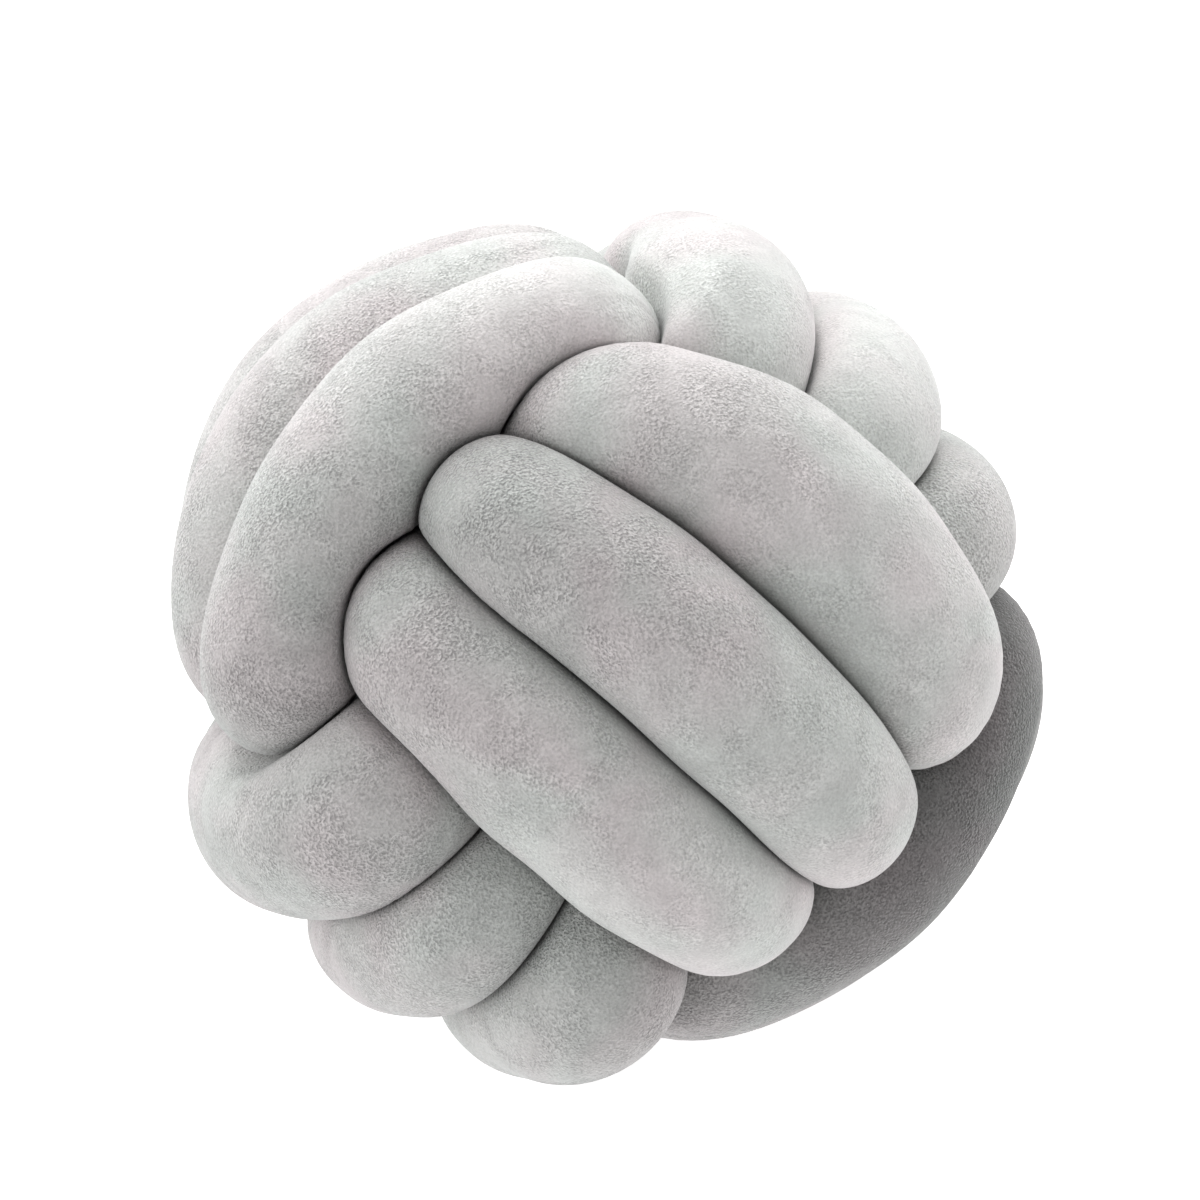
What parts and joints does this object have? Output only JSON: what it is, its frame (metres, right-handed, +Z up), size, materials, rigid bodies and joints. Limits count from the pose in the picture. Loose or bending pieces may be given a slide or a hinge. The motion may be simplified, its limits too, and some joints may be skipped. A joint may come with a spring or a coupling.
{
  "type": "knot cushion",
  "caption": "Round decorative cushion: a long stuffed plush tube tied into a ball knot, its strands lying in groups that cross over and under one another.",
  "frame": {"origin": "centre of the bounding box's bottom face, on the surface that the ball stands on", "axes": "+Z up; -Y is the front, where three strands lie side by side facing the viewer; +X is the viewer's right"},
  "size_m": [0.2754, 0.2722, 0.2634],
  "materials": {
    "plush": "pale grey short-pile velvet"
  },
  "bodies": {
    "root": {"knot_tube": "plush"}
  },
  "joints": []
}
